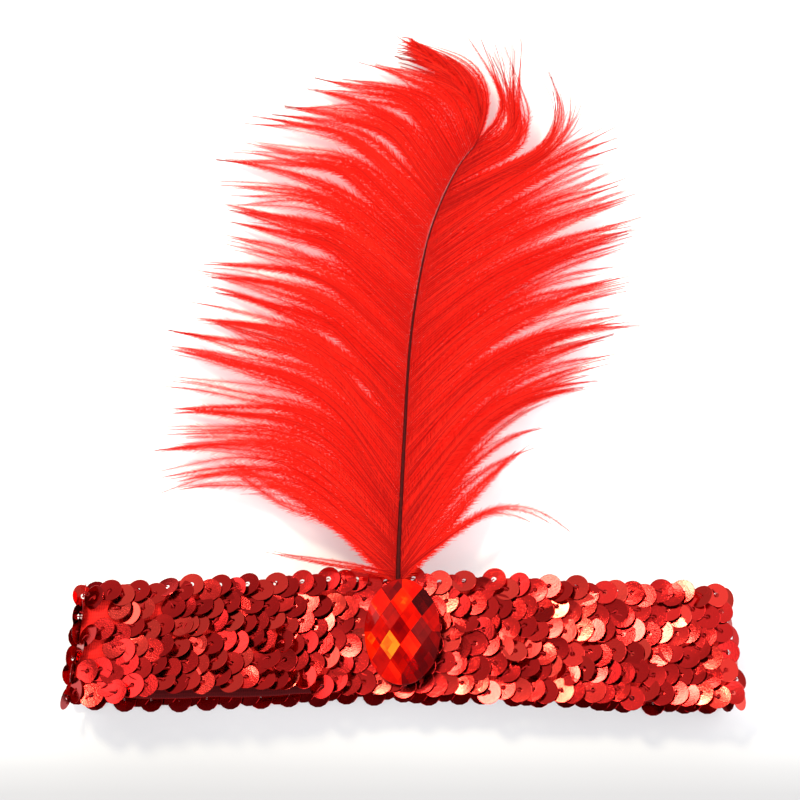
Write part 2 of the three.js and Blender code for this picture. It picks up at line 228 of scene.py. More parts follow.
RIGHT_BARBS = table("at reach lean turn start end", [
    (2, 44, 42, -24, 0.14, 0.34),
    (6, 55, 34, 33, 0.4, 1),
    (11, 66, 31, 38, 0.35, 1),
    (18, 69, 34, 37, 0.2, 0.9),
    (28, 68, 38, 33, 0.15, 0.9),
    (39, 70, 41, 29, 0.1, 0.9),
    (56, 71, 42, 24, 0.05, 0.9),
    (75, 64, 44, 18, 0, 0.9),
    (85, 60, 42, 11, 0, 1),
    (94, 56, 40, 6, 0, 1),
    (97, 53, 40, -12, 0.3, 1),
    (98.5, 53, 41, -38, 0.35, 1),
    (100.5, 53, 42, -68, 0.38, 0.98),
    (104.5, 53, 42, -86, 0.34, 0.92),
    (106.4, 55, 42, -86, 0.36, 0.9),
    (106.5, 53, 38, -74, 0.3, 0.64),
    (111, 50, 33, -78, 0.26, 0.6),
    (115, 45, 29, -75, 0.2, 0.52),
    (118.5, 41, 26, -70, 0.13, 0.46),
    (121, 37, 24, -66, 0.08, 0.48),
    (122.4, 33, 17, -60, 0.08, 0.5),
    (122.6, 36, -2, -80, 0, 0.8),
    (127, 32, 3, -74, 0, 0.9),
    (131, 27, 6, -54, 0, 1),
    (150, 9, 10, -10, 0, 1),
])
# Side hairs: share of the barb that has them, size, thinning, bare root, and scatter of the clumps' turn
LEFT_FRINGE = table("at fringe hair thin bare scatter", [
    (6, 0.98, 1, 0.3, 0, 1),
    (50, 0.97, 1, 0.4, 0, 1),
    (75, 0.96, 1, 0.45, 0.3, 1),
    (105, 0.94, 1, 0.5, 0.4, 1),
    (117, 0.92, 0.95, 0.5, 0.2, 1),
    (126, 0.9, 0.8, 0.7, 0, 1.5),
    (150, 0.9, 0.5, 0.7, 0, 3.5),
])
RIGHT_FRINGE = table("at fringe hair thin bare scatter", [
    (6, 0.96, 1, 0.4, 0, 1),
    (85, 0.95, 1, 0.5, 0, 1),
    (98, 0.93, 0.9, 0.6, 0, 1),
    (104, 0.92, 0.7, 0.8, 0, 1.5),
    (122, 0.9, 0.55, 0.85, 0, 1.5),
    (124, 0.95, 0.45, 0.5, 0, 1),
    (150, 0.95, 0.4, 0.6, 0, 3),
])
# Slits between locks: place on the shaft, middle and length as shares of the barb, and width
LEFT_SLITS = table("at share length width", [
    (34, 0.7, 0.18, 3),
    (40, 0.27, 0.13, 3.6),
    (46, 0.44, 0.13, 3.4),
    (66, 0.55, 0.11, 3),
    (79, 0.68, 0.24, 3.4),
    (88, 0.5, 0.16, 3.4),
    (96, 0.66, 0.18, 2.8),
    (102, 0.4, 0.18, 3.4),
    (110, 0.5, 0.16, 3),
])
RIGHT_SLITS = table("at share length width", [
    (52, 0.78, 0.14, 1.6),
    (72, 0.62, 0.14, 2.4),
    (84, 0.84, 0.14, 2.2),
])
SLIT_FADE = 4.0
LEFT_PARTINGS = [123.0]
RIGHT_PARTINGS = [106.45, 122.5]
# Single barbs that lie apart, with the height of the tip and the size of the side hairs
LEFT_STRAYS = table("at reach lean turn start end tip hair", [
    (4.2, 33, 81, -4, 0, 1, 10, 0.4),
    (4.8, 30, 77, 6, 0, 1, 9.5, 0.4),
    (5.6, 31, 86, -12, 0, 1, 9, 0.4),
    (4.5, 71, 50, 58, 0.35, 0.85, 2, 0.9),
    (5.2, 46, 49, 38, 0.35, 0.9, 4, 0.9),
])
RIGHT_STRAYS = table("at reach lean turn start end tip hair", [
    (4, 52, 50, 74, 0.36, 0.92, 2, 0.9),
    (4.3, 46, 50, 70, 0.38, 0.98, 3, 0.9),
    (4.6, 40, 49, 64, 0.38, 1, 4, 0.9),
    (99.8, 53, 42, -48, 0.4, 0.95, 1.5, 0.5),
    (100.6, 54, 42, -60, 0.4, 0.95, 1.2, 0.5),
    (101.6, 53, 42, -72, 0.4, 0.95, 1.7, 0.5),
    (103, 55, 41, -80, 0.38, 0.92, 1.4, 0.5),
    (122, 37, 20, -70, 0.08, 0.48, 1.8, 0.45),
])
STRAY_HABITS = {
    "arch": 0, "wave": 3, "beat": 1, "phase": 0, "tone": 0.5, "fringe": 0.95, "thin": 0.2, "bare": 0,
}
HAIR_COLUMNS = ("fringe", "hair", "thin", "bare")
LEFT_CLUMP = 6
RIGHT_CLUMP = 4
LEFT, RIGHT = 1, -1
CURL_SPAN = (124.0, 145.0)
CURL_LIFT = 2.4
LOCK_ARCH = 1.6
LOCK_DROOP = 1.8
BARBS_PER_SIDE = 270
BARB_PLACES = table("share at", [
    (0, 2.4),
    (0.16, 20),
    (0.62, 98),
    (0.9, 136),
    (1, 153),
])
BARB_STEPS = 24
BARB_SHARE = np.linspace(0, 1, BARB_STEPS + 1)
BARB_SIDES = 3
BARB_ROOT_RADIUS = 0.15
BARB_TIP_RADIUS = 0.05
BARB_TAPER = 1.5
BARB_FLOOR_GAP = 0.25
ROOT_PAST_MIDDLE = 0.5
# Chance in bunches of clumps, in clumps and in single barbs; pairs are ranges
BUNCH_SIZE = (2, 8)
BUNCH_LEAN = 1.0
BUNCH_TURN = 2.5
CLUMP_REACH = (0.92, 1.05)
CLUMP_LEAN = 0.5
CLUMP_TURN = 2.5
CLUMP_ARCH = 0.4
CLUMP_TIP = (0.5, 1.8)
CLUMP_WAVE = 3.0
CLUMP_BEAT = (0.6, 1.2)
CLUMP_TONE = (0.2, 0.8)
CLUMP_PULL = (0.7, 0.96)
CLUMP_DRAWN = (0.58, 0.93)
LOOSE_SHARE = 0.07
BARB_REACH = 0.95
BARB_REACH_SPREAD = 0.06
BARB_REACH_MOST = 1.03
BARB_LEAN = 0.6
BARB_TURN = 2.5
BARB_ARCH = 0.1
BARB_TIP = (-0.3, 0.6)
BARB_WAVE = 2.0
BARB_TONE = 0.3
# Side hairs: angles in degrees, spans as shares of the haired stretch or, at the root, of the barb
BARBULE_SPACING = 0.25
BARBULES_FEWEST = 12
BARBULE_LENGTH = 2.5
BARBULE_LENGTH_SPREAD = 0.18
BARBULE_WIDTH = 0.165
BARBULE_TIP_WIDTH = 0.25
BARBULE_SPLAY = 38
BARBULE_SPLAY_LOSS = 8
BARBULE_SPLAY_SPREAD = 5
BARBULE_RISE = -14
BARBULE_RISE_SPREAD = 7
BARBULE_TWIST = 28
BARBULE_TONE = 0.1
THIN_SPAN = (0.45, 0.9)
SHORT_SPAN = (0.85, 1.0)
SHORT_LOSS = 0.8
ROOT_SPAN = (0.0, 0.08)
ROOT_LOSS = 0.4
SLIM_SPAN = (0.4, 0.9)
SLIM_LOSS = 0.4
HAIR_FLOOR_GAP = 0.05

# Camera: millimetres round the gem and angles in degrees, but the clip in metres
VIEW_ELEVATION = 75.0
VIEW_DISTANCE = 550.0
VIEW_CENTRE = (-0.7, 58.65, 8.0)
VIEW_WIDTH = 197.0
SENSOR_WIDTH = 36.0
CLIP_START = 0.01

# Floor and light: places and sizes in metres, power in watts; each stop is a position and a level
FLOOR_SIZE = 6.0
# The floor is greyed towards the near side as painted shade and given a painted glow that lightens its
# shadows
FLOOR_SHADE_SPAN = (-0.12, 0.0)
FLOOR_GLOW = 0.26
WORLD_STRENGTH = 1.6
NEAR_STOPS = [(0.0, 1.0), (0.8, 1.0), (0.95, 0.15)]
OVERHEAD_WAY = (0.2, 0.3, 0.93)
OVERHEAD_STOPS = [(0.0, 0.4), (0.6, 0.46), (0.76, 0.6), (0.9, 0.95)]
FILL = {"aim": (0, 0, 0), "size": 0.6, "power": 3.6, "colour": (0.98, 0.985, 1.03)}
LIGHTS = [
    {"name": "key", "place": (-0.36, 0.40, 0.84), "aim": (0.045, -0.07, 0), "size": 0.17,
     "power": 6.2, "colour": (1.0, 0.93, 0.68)},
    {"name": "soft_left", "place": (-0.745, 0.35, 0.58), "aim": (-0.045, -0.07, 0), "size": 0.37,
     "power": 1.5, "colour": (1.0, 0.97, 0.92)},
    {"name": "fill_front_left", "place": (-0.55, -0.6, 0.6), **FILL},
    {"name": "fill_front_right", "place": (0.55, -0.6, 0.6), **FILL},
    {"name": "fill_right", "place": (0.8, 0.15, 0.65), **FILL},
]


# Helpers

def unit(vectors):
    return vectors / np.linalg.norm(vectors, axis=-1, keepdims=True)


def ease(position, start, end):
    share = np.clip((position - start) / (end - start), 0.0, 1.0)
    return share * share * (3.0 - 2.0 * share)


def column(rows, at, name):
    """One column of a table, straight between its rows."""
    return np.interp(at, [row["at"] for row in rows], [row[name] for row in rows])


def make_object(name, points, faces, materials, smooth=True, values=None):
    """A mesh piece from points in millimetres and an array of faces, with named numbers for its points."""
    mesh = bpy.data.meshes.new(name)
    faces = np.asarray(faces, np.int32)
    corners = faces.shape[1]
    mesh.vertices.add(len(points))
    mesh.vertices.foreach_set("co", ((np.asarray(points) + SHIFT) * MM).astype(np.float32).ravel())
    mesh.loops.add(faces.size)
    mesh.loops.foreach_set("vertex_index", faces.ravel())
    mesh.polygons.add(len(faces))
    mesh.polygons.foreach_set("loop_start", np.arange(0, faces.size, corners, dtype=np.int32))
    for label, numbers in (values or {}).items():
        attribute = mesh.attributes.new(label, "FLOAT", "POINT")
        attribute.data.foreach_set("value", np.asarray(numbers, np.float32).ravel())
    mesh.update(calc_edges=True)
    mesh.polygons.foreach_set("use_smooth", np.full(len(faces), smooth))
    return link_object(name, mesh, materials)


def link_object(name, mesh, materials):
    for material in materials:
        mesh.materials.append(material)
    piece = bpy.data.objects.new(name, mesh)
    bpy.context.scene.collection.objects.link(piece)
    return piece


def settle(piece, slot, *nodes):
    """The piece rides on the one body and stands for these nodes, which are hidden; slot is not used."""
    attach(piece, "root")
    if nodes:
        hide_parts(*nodes)
    return piece


def grid_faces(rows, columns, wrap_rows, wrap_columns):
    """Quads of a grid of points, row by row, joined up at the ends where it wraps."""
    row = np.arange(rows if wrap_rows else rows - 1)[:, None]
    col = np.arange(columns if wrap_columns else columns - 1)[None, :]
    next_row = (row + 1) % rows
    next_col = (col + 1) % columns
    quads = np.stack([
        row * columns + col,
        next_row * columns + col,
        next_row * columns + next_col,
        row * columns + next_col,
    ], axis=-1)
    return quads.reshape(-1, 4)


def rings(aside, over, sides):
    """Unit circles between two directions, one at each place."""
    angle = np.linspace(0, 2 * math.pi, sides, endpoint=False)
    return np.cos(angle)[:, None] * aside[..., None, :] + np.sin(angle)[:, None] * over[..., None, :]


def copied_faces(faces, count, points_each):
    """The faces of one shape repeated for a number of copies with this many points each."""
    offsets = np.arange(count)[:, None, None] * points_each
    return (faces[None, :, :] + offsets).reshape(-1, faces.shape[1])


def fill_ramp(ramp, stops):
    """Sets the stops of a colour ramp: positions with their colours."""
    while len(ramp.elements) < len(stops):
        ramp.elements.new(0.5)
    for element, (position, colour) in zip(ramp.elements, stops):
        element.position = position
        element.color = (*colour, 1.0)


# Materials

class Nodes:
    """Short way to lay out a material's nodes."""

    def __init__(self, name):
        self.material = bpy.data.materials.new(name)
        self.material.use_nodes = True
        self.tree = self.material.node_tree
        self.shader = self.tree.nodes["Principled BSDF"]
        self.output = self.tree.nodes["Material Output"]

    def add(self, kind, inputs=None, **settings):
        node = self.tree.nodes.new(kind)
        for name, value in settings.items():
            setattr(node, name, value)
        for name, value in (inputs or {}).items():
            node.inputs[name].default_value = value
        return node

    def link(self, source, target):
        self.tree.links.new(source, target)

    def set(self, **values):
        for name, value in values.items():
            self.shader.inputs[name.replace("_", " ")].default_value = value

    def number(self, name):
        return self.add("ShaderNodeAttribute", attribute_name=name).outputs["Fac"]

    def place(self):
        return self.add("ShaderNodeTexCoord").outputs["Object"]

    def axes(self):
        """The place as separate x, y and z."""
        node = self.add("ShaderNodeSeparateXYZ")
        self.link(self.place(), node.inputs["Vector"])
        return node.outputs

    def noise(self, scale, detail):
        node = self.add("ShaderNodeTexNoise", {"Scale": scale, "Detail": detail})
        self.link(self.place(), node.inputs["Vector"])
        return node.outputs["Fac"]

    def ramp(self, source, stops):
        node = self.add("ShaderNodeValToRGB")
        fill_ramp(node.color_ramp, stops)
        self.link(source, node.inputs["Fac"])
        return node.outputs["Color"]

    def colour(self, source, stops):
        self.link(self.ramp(source, stops), self.shader.inputs["Base Color"])

    def spread(self, source, low, high):
        """A 0 to 1 number moved to the range from low to high."""
        node = self.add("ShaderNodeMapRange", {"To Min": low, "To Max": high})
        self.link(source, node.inputs["Value"])
        return node.outputs["Result"]

    def math(self, operation, first, second=0.0):
        node = self.add("ShaderNodeMath", operation=operation)
        for socket, value in zip(node.inputs, (first, second)):
            if isinstance(value, (int, float)):
                socket.default_value = value
            else:
                self.link(value, socket)
        return node.outputs["Value"]

    def bump(self, height, strength, distance):
        node = self.add("ShaderNodeBump", {"Strength": strength, "Distance": distance})
        self.link(height, node.inputs["Height"])
        self.link(node.outputs["Normal"], self.shader.inputs["Normal"])


def sequin_material():
    """Metallised film: a red mirror with a fine grain."""
    nodes = Nodes("sequin_film")
    grain = nodes.noise(scale=3200.0, detail=4.0)
    tone = nodes.number("tone")
    # Tones differ at random on the upper layer; the stop at 0.1 is the painted shade tone of the lower layer
    nodes.colour(tone, [
        (0.1, (0.20, 0.004, 0.005)),
        (0.25, (0.35, 0.010, 0.010)),
        (0.75, (0.50, 0.017, 0.015)),
        (1.0, (0.68, 0.048, 0.034)),
    ])
    nodes.link(nodes.spread(grain, 0.06, 0.16), nodes.shader.inputs["Roughness"])
    nodes.bump(grain, strength=0.4, distance=0.00005)
    nodes.set(Metallic=1.0)
    return nodes.material


def thread_material():
    nodes = Nodes("red_thread")
    twist = nodes.noise(scale=5200.0, detail=2.0)
    nodes.colour(twist, [(0.3, (0.22, 0.004, 0.006)), (0.7, (0.42, 0.010, 0.011))])
    nodes.bump(twist, strength=0.5, distance=0.00006)
    nodes.set(Roughness=0.7, Specular_IOR_Level=0.08)
    return nodes.material


def elastic_material():
    """Woven elastic: ribs of covered rubber along the band, crossed by fine yarn, with painted shade on the
    inside face.
    """
    nodes = Nodes("woven_elastic")
    along = nodes.number("along")
    across = nodes.number("across")
    outside = nodes.number("outside")
    ribs = nodes.math("SINE", nodes.math("MULTIPLY", across, 2 * math.pi / RIB_PITCH))
    yarn = nodes.math("SINE", nodes.math("MULTIPLY", along, 2 * math.pi / YARN_PITCH))
    weave = nodes.math("ADD", nodes.math("MULTIPLY", ribs, 0.5), nodes.math("MULTIPLY", yarn, 0.6))
    height = nodes.math("ADD", weave, nodes.noise(scale=4000.0, detail=3.0))
    # painted shade: the inner face of the loop is darkened to under a third, on top of the weave's own
    # variation
    weave_and_inner_shade = nodes.math("MULTIPLY", nodes.spread(height, 0.75, 0.95), nodes.spread(outside, 0.3, 1.0))
    # the two darkest stops are painted shade, reached only on the inner face
    nodes.colour(weave_and_inner_shade, [
        (0.2, (0.06, 0.003, 0.004)),
        (0.45, (0.16, 0.005, 0.006)),
        (0.75, (0.66, 0.012, 0.010)),
        (0.95, (0.80, 0.018, 0.012)),
    ])
    nodes.bump(height, strength=0.4, distance=0.00010)
    nodes.set(Roughness=0.85, Specular_IOR_Level=0.1)
    return nodes.material


def gem_material():
    """Clear red acrylic with painted light: each facet gets its own painted reflection or shade, broken up by
    painted facets seen behind it and a painted glow.
    """
    nodes = Nodes("red_acrylic")
    axes = nodes.axes()
    across = nodes.math("DIVIDE", axes["X"], GEM_FACET * GEM_WIDTH / 2 * MM)
    along = nodes.math("SUBTRACT", axes["Y"], SHIFT[1] * MM)
    along = nodes.math("DIVIDE", along, GEM_FACET * GEM_LENGTH / 2 * MM)
    lattice = nodes.add("ShaderNodeCombineXYZ")
    nodes.link(nodes.math("FLOOR", nodes.math("ADD", across, along)), lattice.inputs["X"])
    nodes.link(nodes.math("FLOOR", nodes.math("SUBTRACT", across, along)), lattice.inputs["Y"])
    cells = nodes.add("ShaderNodeTexWhiteNoise")
    nodes.link(lattice.outputs["Vector"], cells.inputs["Vector"])
    behind = nodes.spread(cells.outputs["Value"], -0.1, 0.1)
    glow = nodes.spread(nodes.noise(scale=260.0, detail=2.0), -0.16, 0.16)
    tone = nodes.math("ADD", nodes.number("tone"), nodes.math("ADD", behind, glow))
    # Tones run from deep painted shade through red to a painted yellow glint
    nodes.colour(tone, [
        (0.05, (0.03, 0.001, 0.002)),
        (0.3, (0.16, 0.001, 0.002)),
        (0.5, (0.42, 0.002, 0.001)),
        (0.7, (0.86, 0.005, 0.001)),
        (0.85, (1.0, 0.020, 0.002)),
        (1.0, (1.0, 0.26, 0.010)),
    ])
    nodes.set(Roughness=0.04, Transmission_Weight=0.25, IOR=1.45, Specular_IOR_Level=0.3)
    nodes.set(Specular_Tint=(1.0, 0.06, 0.04, 1.0))
    return nodes.material


def foil_material():
    nodes = Nodes("gem_foil")
    crinkle = nodes.noise(scale=700.0, detail=3.0)
    nodes.colour(crinkle, [(0.3, (0.75, 0.05, 0.02)), (0.7, (0.95, 0.14, 0.05))])
    nodes.bump(crinkle, strength=0.3, distance=0.0002)
    nodes.set(Metallic=1.0, Roughness=0.18)
    return nodes.material


def quill_material():
    nodes = Nodes("dyed_quill")
    streak = nodes.noise(scale=1800.0, detail=4.0)
    nodes.colour(streak, [(0.3, (0.028, 0.002, 0.002)), (0.7, (0.075, 0.004, 0.004))])
    nodes.link(nodes.spread(streak, 0.4, 0.6), nodes.shader.inputs["Roughness"])
    nodes.bump(streak, strength=0.2, distance=0.00005)
    nodes.set(Specular_IOR_Level=0.04)
    return nodes.material


def plume_material(name, through, stops):
    """Dyed barbs: soft red that lets light through; stops are colours along a barb."""
    nodes = Nodes(name)
    along = nodes.ramp(nodes.number("share"), stops)
    tint = nodes.ramp(nodes.number("tone"), [(0.0, (0.9, 0.5, 0.5)), (1.0, (1.0, 1.0, 1.0))])
    vary = nodes.add("ShaderNodeMix", {"Factor": 1.0}, data_type="RGBA", blend_type="MULTIPLY")
    nodes.link(along, vary.inputs[6])
    nodes.link(tint, vary.inputs[7])
    nodes.link(vary.outputs[2], nodes.shader.inputs["Base Color"])
    nodes.set(Roughness=0.65, Specular_IOR_Level=0.12)
    glow = nodes.add("ShaderNodeBsdfTranslucent")
    nodes.link(vary.outputs[2], glow.inputs["Color"])
    mixed = nodes.add("ShaderNodeMixShader", {"Fac": through})
    nodes.link(nodes.shader.outputs["BSDF"], mixed.inputs[1])
    nodes.link(glow.outputs["BSDF"], mixed.inputs[2])
    nodes.link(mixed.outputs["Shader"], nodes.output.inputs["Surface"])
    return nodes.material


def floor_material():
    """White card with a painted glow that lightens its shadows, and painted shade that greys it towards the
    near side.
    """
    nodes = Nodes("pale_floor")
    near, far = FLOOR_SHADE_SPAN
    depth = nodes.add("ShaderNodeMapRange", {"From Min": near, "From Max": far})
    nodes.link(nodes.axes()["Y"], depth.inputs["Value"])
    # Painted shade of the light falling off towards the near side; the stops just past the band's near edge
    # are raised to lighten the end of its shadow
    nodes.colour(depth.outputs["Result"], [
        (0.0, (0.27, 0.27, 0.283)),
        (0.11, (0.29, 0.29, 0.302)),
        (0.16, (0.35, 0.35, 0.360)),
        (0.21, (0.45, 0.45, 0.455)),
        (0.28, (0.63, 0.63, 0.635)),
        (0.45, (0.80, 0.80, 0.80)),
    ])
    nodes.set(Roughness=0.7, Specular_IOR_Level=0.1)
    # Painted glow: the card gives off light to lighten its shadows
    nodes.set(Emission_Color=(1.0, 1.0, 1.0, 1.0), Emission_Strength=FLOOR_GLOW)
    return nodes.material


# The loop

def lay(x, name):
    """A column of LOOP_LAY at x, eased from row to row."""
    value = np.full(np.shape(x), float(LOOP_LAY[0][name]))
    for low, high in zip(LOOP_LAY, LOOP_LAY[1:]):
        value = value + (high[name] - low[name]) * ease(x, low["x"], high["x"])
    return value


def loop_frames(along):
    """Middle of the elastic at distances round the loop, and the directions along, across and out there."""
    place = np.mod(along, LOOP_LENGTH)
    spans = [place < STRAIGHT, place < STRAIGHT + FOLD, place < 2 * STRAIGHT + FOLD]
    turned = np.select(
        spans,
        [0.0 * place, (place - STRAIGHT) / FOLD_RADIUS, 0.0 * place + math.pi],
        math.pi + (place - 2 * STRAIGHT - FOLD) / FOLD_RADIUS,
    )
    flat_x = np.select(
        spans,
        [STRAIGHT / 2 - place, 0.0 * place - STRAIGHT / 2, place - 1.5 * STRAIGHT - FOLD],
        STRAIGHT / 2,
    )
    out_x = -np.sin(turned)
    out_z = np.cos(turned)
    x = flat_x + FOLD_RADIUS * out_x
    upper_share = (1 + out_z) / 2
    roll = np.radians(upper_share * lay(x, "roll"))
    bow = lay(x, "under") + (lay(x, "bow") - lay(x, "under")) * upper_share
    height = LOWER_HEIGHT + 2 * FOLD_RADIUS * upper_share + upper_share * lay(x, "rise")
    zero = 0.0 * x
    middle = np.stack([x, bow, height], axis=-1)
    along_way = np.stack([-out_z, zero, out_x], axis=-1)
    across_way = np.stack([zero, np.cos(roll), -np.sin(roll)], axis=-1)
    out_way = np.stack([out_x, out_z * np.sin(roll), out_z * np.cos(roll)], axis=-1)
    return middle, along_way, across_way, out_way


def on_loop(along, across, out):
    middle, _, across_way, out_way = loop_frames(along)
    points = middle + across[..., None] * across_way + out[..., None] * out_way
    points[..., 0] *= 1 - FAR_EDGE_SHORTER * (0.5 + across / ELASTIC_WIDTH)
    return points


def drawing_shift():
    """From the drawing to the frame: the band's edge on the plume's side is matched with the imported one."""
    along = np.linspace(0, STRAIGHT, EDGE_STEPS)
    edge = on_loop(along, 0 * along + ELASTIC_WIDTH / 2, 0 * along + ELASTIC_THICKNESS / 2)
    return np.array([0.0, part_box("band")[1].y / MM - edge[:, 1].max(), 0.0])


def make_elastic():
    """The woven strip all round the loop, with soft edges that waver a little."""
    edge = ELASTIC_WIDTH / 2
    half = ELASTIC_THICKNESS / 2
    soft = ELASTIC_SOFT_EDGE
    flat = np.linspace(edge - soft, soft - edge, ELASTIC_FACE_STEPS)
    face = np.full(ELASTIC_FACE_STEPS, half)
    section_across = np.concatenate([[edge], flat, [-edge], [-edge], flat[::-1], [edge]])
    section_out = np.concatenate([
        [half - soft], face, [half - soft],
        [soft - half], -face, [soft - half],
    ])
    along = np.linspace(0, LOOP_LENGTH, ELASTIC_STEPS, endpoint=False)[:, None]
    waver = sum((size * np.sin(along / length) for size, length in EDGE_WAVERS), 1)
    along_grid = along + 0 * section_across
    across_grid = section_across * waver
    out_grid = section_out + 0 * along
    points = on_loop(along_grid, across_grid, out_grid).reshape(-1, 3)
    faces = grid_faces(ELASTIC_STEPS, len(section_across), True, True)
    elastic = make_object(
        "elastic_web", points, faces, [elastic_material()],
        # outside tells the outer face from the inner one, which the material gives painted shade
        values={"along": along_grid, "across": across_grid, "outside": out_grid > 0},
    )
    return settle(elastic, "elastic", "band")


# Sequins

def sequin_places(rng):
    """Where each sequin is sewn and how it lies, row by row round the loop."""
    pitch = LOOP_LENGTH / SEQUINS_ROUND
    row, number = np.meshgrid(np.arange(SEQUIN_ROWS), np.arange(SEQUINS_ROUND), indexing="ij")
    row = row.ravel()
    number = number.ravel()
    count = len(row)
    zigzag = ROW_ZIGZAG * (2 * (number % 2) - 1)
    along = (number + 0.5 * (row % 2) + rng.normal(0, ALONG_SPREAD, count)) * pitch
    across = (row - (SEQUIN_ROWS - 1) / 2) * ROW_PITCH + zigzag
    across = across + rng.normal(0, ACROSS_SPREAD, count)
    lean = rng.normal(SEQUIN_LEAN, SEQUIN_LEAN_SPREAD, count)
    rock = rng.normal(SEQUIN_ROCK, SEQUIN_ROCK_SPREAD, count)
    height = rng.normal(SEQUIN_LIFT, SEQUIN_LIFT_SPREAD, count)
    odd = rng.random(count) < ODD_SHARE
    lean = np.where(odd, lean + rng.uniform(*ODD_LEAN, count), lean)
    rock = np.where(odd, rock + rng.uniform(*ODD_ROCK, count), rock)
    height = np.where(odd, height + ODD_LIFT, height)
    middle, _, _, out_way = loop_frames(along)
    lower = out_way[:, 2] < LOWER_FACING
    near_gem = (np.abs(middle[:, 0]) < GEM_WIDTH / 2 + GEM_SEAT_MARGIN) & ~lower
    pressed = lower | near_gem
    across = np.where(lower, np.clip(across, -LOWER_ACROSS, LOWER_ACROSS), across)
    lean = np.where(pressed, PRESSED * np.clip(lean, *PRESSED_LEAN), lean)
    rock = np.where(pressed, PRESSED * np.clip(rock, *PRESSED_ROCK), rock)
    height = np.where(lower, LOWER_LIFT, np.where(near_gem, GEM_SEAT_LIFT, height))
    places = {
        "along": along,
        "across": across,
        "lean": lean + FOLD_LEAN * np.abs(out_way[:, 0]),
        "rock": rock,
        "height": height,
        "lower": lower,
        "dish": rng.uniform(*SEQUIN_DISH, count),
        # lower sequins take the painted shade tone; the upper ones' tones differ at random
        "tone": np.where(lower, LOWER_SHADE_TONE, rng.uniform(*UPPER_TONE, count)),
        "swing": rng.normal(0, STITCH_SWING, count),
        "crease": ~lower * (rng.random(count) < CREASED_SHARE)
        * rng.uniform(-CREASE_SLOPE, CREASE_SLOPE, count),
        "crease_way": rng.uniform(0, 2 * math.pi, count),
        "crease_off": rng.uniform(0.0, CREASE_OFF, count),
    }
    sewn = np.ones(count, bool)
    for x, y in BARE_SPOTS:
        far_off = np.hypot(middle[:, 0] - x, middle[:, 1] + across - y) > BARE_WITHIN
        sewn &= far_off | lower
    return chosen_places(places, sewn)


def sequin_frames(places):
    """Centre of each sequin and its own directions: to the right, towards the plume, and out."""
    _, along_way, across_way, out_way = loop_frames(places["along"])
    centre = on_loop(places["along"], places["across"], ELASTIC_THICKNESS / 2 + places["height"])
    lean = np.radians(places["lean"])[:, None]
    rock = np.radians(places["rock"])[:, None]
    right = -along_way * np.cos(lean) + out_way * np.sin(lean)
    face = out_way * np.cos(lean) + along_way * np.sin(lean)
    far = across_way * np.cos(rock) + face * np.sin(rock)
    face = face * np.cos(rock) - across_way * np.sin(rock)
    return centre, right, far, face


def chosen_places(places, chosen):
    return {name: values[chosen] for name, values in places.items()}


def make_sequins(name, places, sides, hole, film):
    """Dished discs with a hole, some of them creased, joined into one piece."""
    top = SEQUIN_THICKNESS
    edge = SEQUIN_RADIUS - SEQUIN_EDGE
    profile = np.array([
        (hole, 0.0), (hole, top), (SEQUIN_RING, top), (edge, top),
        (SEQUIN_RADIUS, top / 2), (edge, 0.0), (SEQUIN_RING, 0.0),
    ])
    angle = np.linspace(0, 2 * math.pi, sides, endpoint=False)
    radius = np.repeat(profile[:, 0], sides)
    rise = np.repeat(profile[:, 1], sides)
    across_disc = radius * np.tile(np.cos(angle), len(profile))
    along_disc = radius * np.tile(np.sin(angle), len(profile))
    centre, right, far, face = sequin_frames(places)
    bowl = (radius / SEQUIN_RADIUS) ** 2 - DISH_LEVEL
    crease_way = places["crease_way"][:, None]
    beyond = across_disc * np.cos(crease_way) + along_disc * np.sin(crease_way)
    beyond = beyond - places["crease_off"][:, None]
    lift = rise[None, :] + places["dish"][:, None] * bowl[None, :]
    lift = lift + places["crease"][:, None] * np.maximum(beyond, 0)
    points = (
        centre[:, None, :]
        + across_disc[None, :, None] * right[:, None, :]
        + along_disc[None, :, None] * far[:, None, :]
        + lift[:, :, None] * face[:, None, :]
    )
    sunk = np.minimum(points[:, :, 2].min(axis=1) - SEQUIN_FLOOR_GAP, 0.0)
    points[:, :, 2] -= sunk[:, None]
    faces = copied_faces(grid_faces(len(profile), sides, True, True), len(centre), len(radius))
    tone = np.repeat(places["tone"], len(radius))
    piece = make_object(name, points.reshape(-1, 3), faces, [film], smooth=False, values={"tone": tone})
    return settle(piece, "sequin", "sequins")


def make_stitches(places):
    """The thread that comes up through each hole and runs back under the neighbour on the left."""
    route = np.array(STITCH_ROUTE)
    centre, right, far, face = sequin_frames(places)
    swing = np.radians(places["swing"])[:, None]
    way = right * np.cos(swing) + far * np.sin(swing)
    aside = far * np.cos(swing) - right * np.sin(swing)
    line = (
        centre[:, None, :]
        + route[None, :, 0, None] * way[:, None, :]
        + route[None, :, 1, None] * face[:, None, :]
    )
    points = line[:, :, None, :] + STITCH_RADIUS * rings(aside[:, None], face[:, None], STITCH_SIDES)
    points[..., 2] = np.maximum(points[..., 2], HAIR_FLOOR_GAP)
    tube = grid_faces(len(route), STITCH_SIDES, False, True)[:, ::-1]
    faces = copied_faces(tube, len(centre), len(route) * STITCH_SIDES)
    stitches = make_object("sequin_stitches", points.reshape(-1, 3), faces, [thread_material()])
    return settle(stitches, "sequin")


# Gem

